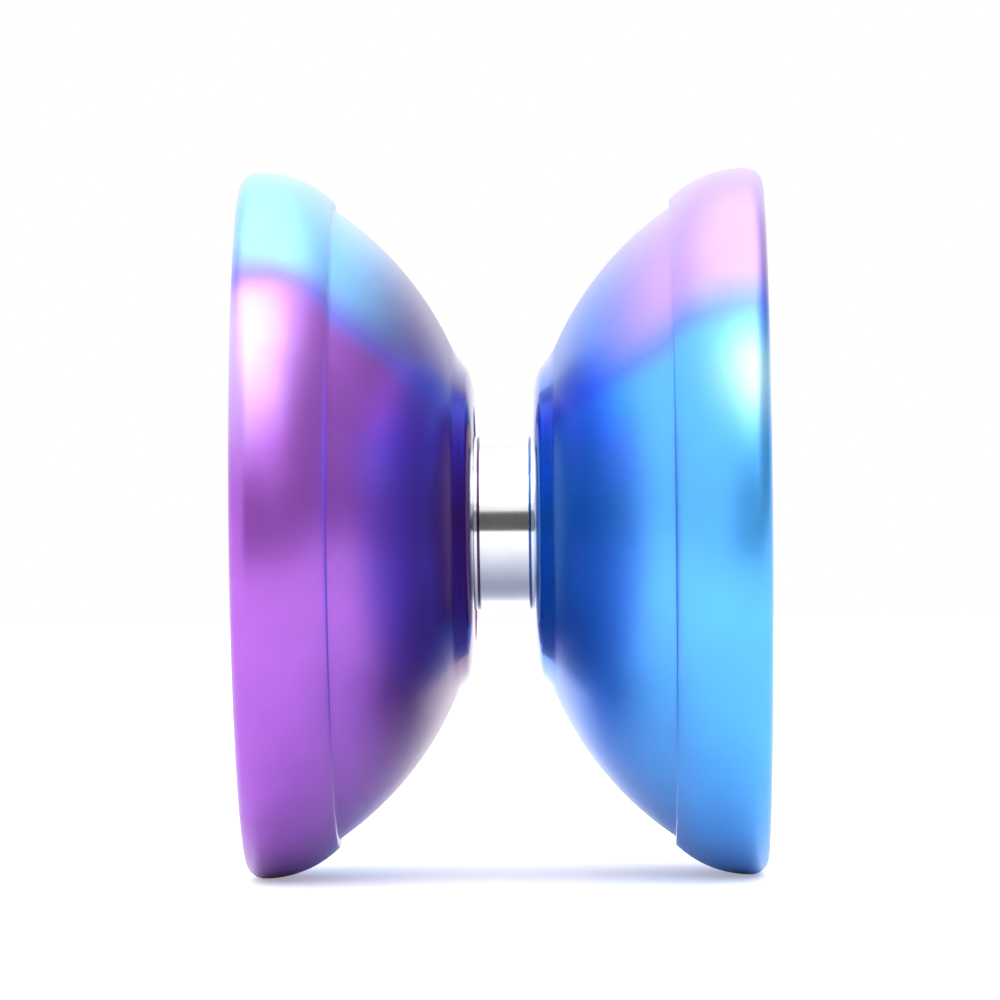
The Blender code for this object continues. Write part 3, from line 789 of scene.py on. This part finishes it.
class MakeHalves(bpy.types.Operator):
    """Make the two turned halves."""

    bl_idname = "yoyo.halves"
    bl_label = "Halves"

    def execute(self, context):
        sizes = context.scene.yoyo_half
        dye_and_painted_light_colours = context.scene.yoyo_finishes
        left = anodised_aluminium(
            "purple_anodised_aluminium",
            (dye_and_painted_light_colours.purple, dye_and_painted_light_colours.orchid_dye_and_highlight, dye_and_painted_light_colours.periwinkle, dye_and_painted_light_colours.pale_blue, dye_and_painted_light_colours.left_pool_and_shade),
            dye_and_painted_light_colours.bare_aluminium, LEFT_PALE_DYE_AND_HIGHLIGHTS, LEFT_POURS)
        right = anodised_aluminium(
            "azure_anodised_aluminium",
            (dye_and_painted_light_colours.azure, dye_and_painted_light_colours.cyan_dye_and_highlight, dye_and_painted_light_colours.cornflower, dye_and_painted_light_colours.lilac, dye_and_painted_light_colours.right_pool_and_shade),
            dye_and_painted_light_colours.bare_aluminium, RIGHT_PALE_DYE_AND_HIGHLIGHTS, RIGHT_POURS)
        for (side_name, side), material in zip(SIDES, (left, right)):
            grid = half_surface(sizes, side)
            item = make_mesh(f"turned_half_{side_name}", grid, poles=True)
            stand_for(item, f"half_{side_name}", material)
        return {"FINISHED"}


def axle_surface(s):
    """Set screw: a threaded bar with a chamfer at both ends and a socket in one.

    Along the bar the radius is the thread's, cut down by a cone at each end.
    In the socket it is a hexagon's, half its width over the cosine of the angle
    from the middle of the nearest flat, and it falls to 0 at the drilled point.
    """
    angle = full_turn(s.segments)
    sixth = math.pi / 3
    hexagon = s.socket / 2 / np.cos(np.mod(angle, sixth) - sixth / 2)
    bottom = s.socket_depth + s.socket_point
    depths = np.array([bottom, s.socket_depth, s.socket_chamfer, 0.0])[:, None]
    shares = np.array([0.0, 1.0, 1.0, s.socket_mouth])[:, None]
    socket = around(s.half_length - depths, shares * hexagon, angle)
    places = np.linspace(s.half_length, -s.half_length, s.rows)[:, None]
    thread = s.radius - s.thread_depth + s.thread_depth * thread_height(
        places, angle, s.thread_pitch)
    cone = s.radius - s.chamfer + (s.half_length - np.abs(places))
    bar = around(places, np.minimum(thread, cone), angle)
    end = around(np.full((2, 1), -s.half_length), np.array([[s.radius / 2], [0.0]]), angle)
    return np.concatenate([socket, bar, end])


class MakeAxle(bpy.types.Operator):
    """Make the threaded axle."""

    bl_idname = "yoyo.axle"
    bl_label = "Axle"

    def execute(self, context):
        sizes = context.scene.yoyo_axle
        colours = context.scene.yoyo_finishes
        material = black_oxide_steel(
            "black_oxide_steel", colours.black_oxide, colours.bare_steel,
            sizes.radius - CREST_WEAR)
        item = make_mesh("threaded_axle", axle_surface(sizes), poles=True)
        stand_for(item, "axle", material)
        return {"FINISHED"}


def groove(s, pitch_radius, land, side):
    """Arc of the ball groove, the +X end first, above (1) or below (-1) the balls."""
    radius = s.ball_radius + s.race_gap
    edge = math.degrees(math.asin(abs(land - pitch_radius) / radius))
    return arc((0.0, pitch_radius), (radius, side * radius), edge, 180 - edge)


def outer_ring_outline(s):
    """Outer ring with its ball groove, shield seats and snap ring grooves."""
    land = s.radius - s.outer_ring
    bore = land + s.shield_seat
    seat = s.half_width - s.shield_depth
    snap = seat + s.shield_thickness + 2 * s.fit_gap
    end = snap + s.snap_thickness + 2 * s.fit_gap
    seats = np.array([
        (seat, land), (seat, bore), (snap, bore), (snap, bore + s.snap_depth),
        (end, bore + s.snap_depth), (end, bore), (s.half_width, bore)])
    outside = [(s.half_width, s.radius), (-s.half_width, s.radius)]
    pitch_radius = (s.radius + s.bore_radius) / 2
    return np.vstack([
        outside, mirrored(seats), groove(s, pitch_radius, land, 1)[::-1], seats])


def inner_ring_outline(s):
    """Inner ring with its ball groove."""
    land = s.bore_radius + s.inner_ring
    pitch_radius = (s.radius + s.bore_radius) / 2
    return np.vstack([
        [(s.half_width, s.bore_radius), (s.half_width, land)],
        groove(s, pitch_radius, land, -1),
        [(-s.half_width, land), (-s.half_width, s.bore_radius)]])


class MakeRings(bpy.types.Operator):
    """Make the two rings of the bearing."""

    bl_idname = "yoyo.rings"
    bl_label = "Bearing rings"

    def execute(self, context):
        sizes = context.scene.yoyo_bearing
        steel = ground_steel(
            "ground_bearing_steel", context.scene.yoyo_finishes.steel,
            roughness=0.12, line_spacing=0.07 * MM)
        outlines = {"outer": outer_ring_outline(sizes), "inner": inner_ring_outline(sizes)}
        for name, outline in outlines.items():
            rows = softened(outline, sizes.edge_rounding, RING_ROWS, closed=True)
            item = make_mesh(
                f"ground_{name}_ring", turned(rows, sizes.segments), rows_close=True)
            stand_for(item, f"bearing_{name}_ring", steel)
        return {"FINISHED"}


class MakeBalls(bpy.types.Operator):
    """Make the bearing balls."""

    bl_idname = "yoyo.balls"
    bl_label = "Balls"

    def execute(self, context):
        sizes = context.scene.yoyo_bearing
        steel = ground_steel(
            "lapped_ball_steel", context.scene.yoyo_finishes.steel,
            roughness=0.05, line_spacing=0.3 * MM)
        outline = arc((0.0, 0.0), (sizes.ball_radius,) * 2, 0, 180, BALL_ROWS)
        shape = turned(outline, BALL_SEGMENTS)
        for index in range(1, BALL_COUNT + 1):
            node = f"ball_{index:02d}"
            low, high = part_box(node)
            item = make_mesh(
                f"steel_{node}", shape + np.array((low + high) / 2), poles=True)
            stand_for(item, node, steel)
        return {"FINISHED"}


class FinishCage(bpy.types.Operator):
    """Give the pressed ball cage its finish."""

    bl_idname = "yoyo.cage"
    bl_label = "Ball cage"

    def execute(self, context):
        sheet = ground_steel(
            "pressed_cage_steel", context.scene.yoyo_finishes.sheet_steel,
            roughness=0.3, line_spacing=0.2 * MM)
        item = frame["nodes"]["ball_cage"]
        item.data.materials.clear()
        item.data.materials.append(sheet)
        return {"FINISHED"}


def shield_outline(s):
    """Sheet with a pressed step: flange, step and inner disc, at one thickness."""
    bore = s.radius - s.outer_ring + s.shield_seat
    flange = bore - s.shield_flange
    back = s.half_width - s.shield_depth + s.fit_gap
    inside = s.bore_radius + s.inner_ring + s.shield_gap
    middle = np.array([
        (back, inside), (back + s.shield_press, inside + s.shield_press),
        (back + s.shield_press, flange - s.shield_press), (back, flange),
        (back, bore - s.fit_gap)])
    return np.vstack([middle + (s.shield_thickness, 0.0), middle[::-1]])


class MakeShields(bpy.types.Operator):
    """Make the two bearing shields."""

    bl_idname = "yoyo.shields"
    bl_label = "Shields"

    def execute(self, context):
        sizes = context.scene.yoyo_bearing
        sheet = ground_steel(
            "stamped_shield_steel", context.scene.yoyo_finishes.sheet_steel,
            roughness=0.2, line_spacing=0.12 * MM)
        outline = shield_outline(sizes)
        for name, side in SIDES:
            face = outline if side > 0 else mirrored(outline)
            rows = softened(face, sizes.sheet_rounding, SHEET_ROWS, closed=True)
            item = make_mesh(
                f"stamped_shield_{name}", turned(rows, sizes.segments), rows_close=True)
            stand_for(item, f"bearing_shield_{name}", sheet)
        return {"FINISHED"}


def snap_ring_surface(s, side):
    """Open ring: a rounded section carried round the axle, short of a gap at the top."""
    outside = s.radius - s.outer_ring + s.shield_seat + s.snap_depth - s.fit_gap
    near = s.half_width - s.shield_depth + s.shield_thickness + 3 * s.fit_gap
    section = np.array([
        (near, outside), (near + s.snap_thickness, outside),
        (near + s.snap_thickness, outside - s.snap_height),
        (near, outside - s.snap_height)])
    if side < 0:
        section = mirrored(section)
    section = softened(section, s.sheet_rounding, WIRE_ROWS, closed=True)
    gap = s.snap_opening / outside
    angle = math.pi / 2 + np.linspace(gap / 2, 2 * math.pi - gap / 2, s.segments)[:, None]
    ring = around(section[:, 0], section[:, 1], angle)
    ends = [np.broadcast_to(ring[i].mean(axis=0), ring[:1].shape) for i in (0, -1)]
    return np.concatenate([ends[0], ring, ends[1]])


class MakeSnapRings(bpy.types.Operator):
    """Make the two snap rings that hold the shields."""

    bl_idname = "yoyo.snap_rings"
    bl_label = "Snap rings"

    def execute(self, context):
        sizes = context.scene.yoyo_bearing
        wire = ground_steel(
            "drawn_spring_steel", context.scene.yoyo_finishes.sheet_steel,
            roughness=0.16, line_spacing=0.06 * MM)
        for name, side in SIDES:
            item = make_mesh(
                f"open_snap_ring_{name}", snap_ring_surface(sizes, side), poles=True)
            stand_for(item, f"snap_ring_{name}", wire)
        return {"FINISHED"}


class MakePads(bpy.types.Operator):
    """Make the two silicone response pads."""

    bl_idname = "yoyo.pads"
    bl_label = "Response pads"

    def execute(self, context):
        half = context.scene.yoyo_half
        bearing = context.scene.yoyo_bearing
        silicone = cast_silicone("cast_silicone", context.scene.yoyo_finishes.silicone)
        inside = bearing.radius + bearing.running_gap + half.lip_wall + bearing.fit_gap
        outside = PAD_BOX[1].z / FACET_SHRINK
        near, far = PAD_BOX[0].x, PAD_BOX[1].x
        outline = np.array([(far, inside), (far, outside), (near, outside), (near, inside)])
        for name, side in SIDES:
            face = outline if side > 0 else mirrored(outline)
            rows = softened(face, half.pad_rounding, SHEET_ROWS, closed=True)
            item = make_mesh(
                f"cast_pad_{name}", turned(rows, bearing.segments), rows_close=True)
            stand_for(item, f"response_pad_{name}", silicone)
        return {"FINISHED"}


# Stage


def camera_sees(tree, real, shown):
    """What the camera sees in place of the shader that lights the yo-yo."""
    ray = add(tree, "ShaderNodeLightPath", {})["Is Camera Ray"]
    return add(tree, "ShaderNodeMixShader", {0: ray, 1: real, 2: shown})[0]


def make_floor(s):
    """Matt pale board. It lights the underside, and it keeps a soft shadow."""
    reach = s.floor_reach
    bottom = -bpy.context.scene.yoyo_half.rim_radius
    front = -s.floor_front
    corners = [(-reach, front), (reach, front), (reach, reach), (-reach, reach)]
    mesh = bpy.data.meshes.new("floor")
    mesh.from_pydata([(x, y, bottom) for x, y in corners], [], [(0, 1, 2, 3)])
    item = bpy.data.objects.new("floor", mesh)
    bpy.context.scene.collection.objects.link(item)
    material, tree, place = start_material("matt_pale_board")
    board = add(tree, "ShaderNodeBsdfDiffuse", {
        "Color": mottle(tree, place, 2 * MM, 0.82, 0.86)})[0]
    glow = add(tree, "ShaderNodeEmission", {"Strength": s.floor_glow})[0]
    lit = add(tree, "ShaderNodeAddShader", {0: board, 1: glow})[0]
    add(tree, "ShaderNodeOutputMaterial", {"Surface": camera_sees(tree, board, lit)})
    mesh.materials.append(material)


def make_tent(s):
    """Light tent: pale walls, brighter on the left and higher up, and an open front.

    Each fade is what it changes, the direction it runs along, its start and end
    there, and the levels at both. The camera sees plain white in every
    direction, which is as bright as the back wall that the metal reflects.
    """
    world = bpy.data.worlds.new("light_tent")
    bpy.context.scene.world = world
    world.use_nodes = True
    tree = world.node_tree
    tree.nodes.clear()
    way = add(tree, "ShaderNodeTexCoord", {})["Generated"]
    x, y, z = add(tree, "ShaderNodeSeparateXYZ", {"Vector": way})
    fades = (
        ("walls", x, -0.15, 0.25, s.left_wall, s.right_wall),
        ("walls", y, 0.1, 0.5, "walls", s.back_wall),
        ("upper", x, 0.3, 0.8, s.upper_wall, s.upper_right),
        ("walls", z, 0.0, 0.35, "walls", "upper"),
        ("walls", z, 0.6, 0.95, "walls", s.ceiling),
        ("front", z, 0.27, 0.33, s.doorway, "walls"),
        ("walls", y, -0.9, -0.98, "walls", "front"),
    )
    levels = {}
    for name, along, start, end, low, high in fades:
        levels[name] = add(tree, "ShaderNodeMapRange", {
            "Value": along, "From Min": start, "From Max": end,
            "To Min": levels.get(low, low), "To Max": levels.get(high, high)},
            interpolation_type="SMOOTHSTEP")["Result"]
    tent = add(tree, "ShaderNodeBackground", {"Color": WHITE, "Strength": levels["walls"]})[0]
    plain = add(tree, "ShaderNodeBackground", {"Color": WHITE, "Strength": 1.0})[0]
    add(tree, "ShaderNodeOutputWorld", {"Surface": camera_sees(tree, tent, plain)})


def make_softbox(s):
    """Square softbox that faces the yo-yo.

    A rectangle's power is pi times its area times its brightness.
    """
    data = bpy.data.lights.new("softbox", "AREA")
    data.size = s.softbox_size
    data.energy = math.pi * s.softbox_size ** 2 * s.softbox
    item = bpy.data.objects.new("softbox", data)
    turn = Euler((math.pi / 2 - s.softbox_height, 0.0, s.softbox_azimuth))
    item.rotation_euler = turn
    item.location = turn.to_matrix() @ Vector((0.0, 0.0, s.softbox_distance))
    item.visible_camera = False
    bpy.context.scene.collection.objects.link(item)


def make_camera(s):
    """Camera on a line through a point near the middle of the axle."""
    data = bpy.data.cameras.new("camera")
    data.lens = s.lens
    data.clip_start = 10 * MM
    data.clip_end = 20.0
    item = bpy.data.objects.new("camera", data)
    bpy.context.scene.collection.objects.link(item)
    turn = Euler((math.pi / 2 - s.camera_elevation, 0.0, s.camera_azimuth)).to_matrix()
    roll = Matrix.Rotation(-s.camera_roll, 3, "Z")
    aim = turn @ Vector((-s.aim_left, s.aim_up, s.camera_distance))
    item.matrix_world = Matrix.Translation(aim) @ (turn @ roll).to_4x4()
    bpy.context.scene.camera = item


class MakeStage(bpy.types.Operator):
    """Make the floor, the light and the camera."""

    bl_idname = "yoyo.stage"
    bl_label = "Stage"

    def execute(self, context):
        sizes = context.scene.yoyo_stage
        make_floor(sizes)
        make_tent(sizes)
        make_softbox(sizes)
        make_camera(sizes)
        context.scene.view_settings.view_transform = "Standard"
        return {"FINISHED"}


OPERATORS = (
    MakeHalves, MakeAxle, MakeRings, MakeBalls, FinishCage, MakeShields, MakeSnapRings,
    MakePads, MakeStage,
)


class YoyoPanel(bpy.types.Panel):
    """Lists what makes each piece."""

    bl_idname = "VIEW3D_PT_yoyo"
    bl_label = "Yo-yo"
    bl_space_type = "VIEW_3D"
    bl_region_type = "UI"
    bl_category = "Yo-yo"

    def draw(self, context):
        for operator in OPERATORS:
            self.layout.operator(operator.bl_idname)
        for name, group in GROUPS.items():
            box = self.layout.box()
            box.label(text=group.__doc__)
            for prop in group.__annotations__:
                box.prop(getattr(context.scene, name), prop)


def register():
    """Register the classes and hang the sizes on the scene."""
    for item in (*GROUPS.values(), *OPERATORS, YoyoPanel):
        bpy.utils.register_class(item)
    for name, group in GROUPS.items():
        setattr(bpy.types.Scene, name, PointerProperty(type=group))


def unregister():
    """Take the sizes and the classes away again."""
    for name in GROUPS:
        delattr(bpy.types.Scene, name)
    for item in (YoyoPanel, *OPERATORS[::-1], *GROUPS.values()):
        bpy.utils.unregister_class(item)


def main():
    """Make every piece and the stage."""
    register()
    for operator in OPERATORS:
        getattr(bpy.ops.yoyo, operator.bl_idname.split(".")[1])()
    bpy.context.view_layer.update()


if __name__ == "__main__":
    main()
